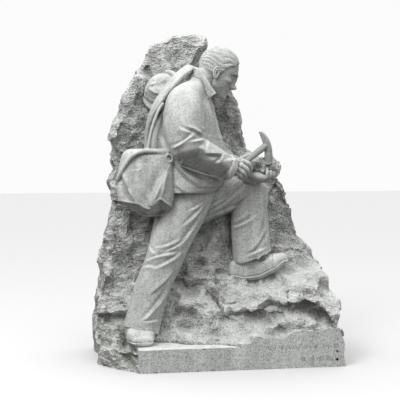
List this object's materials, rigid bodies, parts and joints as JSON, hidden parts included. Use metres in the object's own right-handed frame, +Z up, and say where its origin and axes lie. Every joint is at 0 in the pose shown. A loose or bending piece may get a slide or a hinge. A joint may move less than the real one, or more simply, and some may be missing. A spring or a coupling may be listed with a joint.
{
  "type": "granite memorial statue",
  "caption": "Granite memorial carved from one block: a geologist with hammer and rock sample steps up against a rough slab.",
  "frame": {"origin": "middle of the block's underside, on the ground", "axes": "+Z up; -Y out of the sawn front, the side the figure is carved on; +X towards the figure's right-hand side of the view, the way it faces"},
  "size_m": [1.9642, 1.116, 2.6089],
  "materials": {
    "granite": "matte"
  },
  "bodies": {
    "root": {"granite_memorial_statue": "granite"}
  },
  "joints": []
}
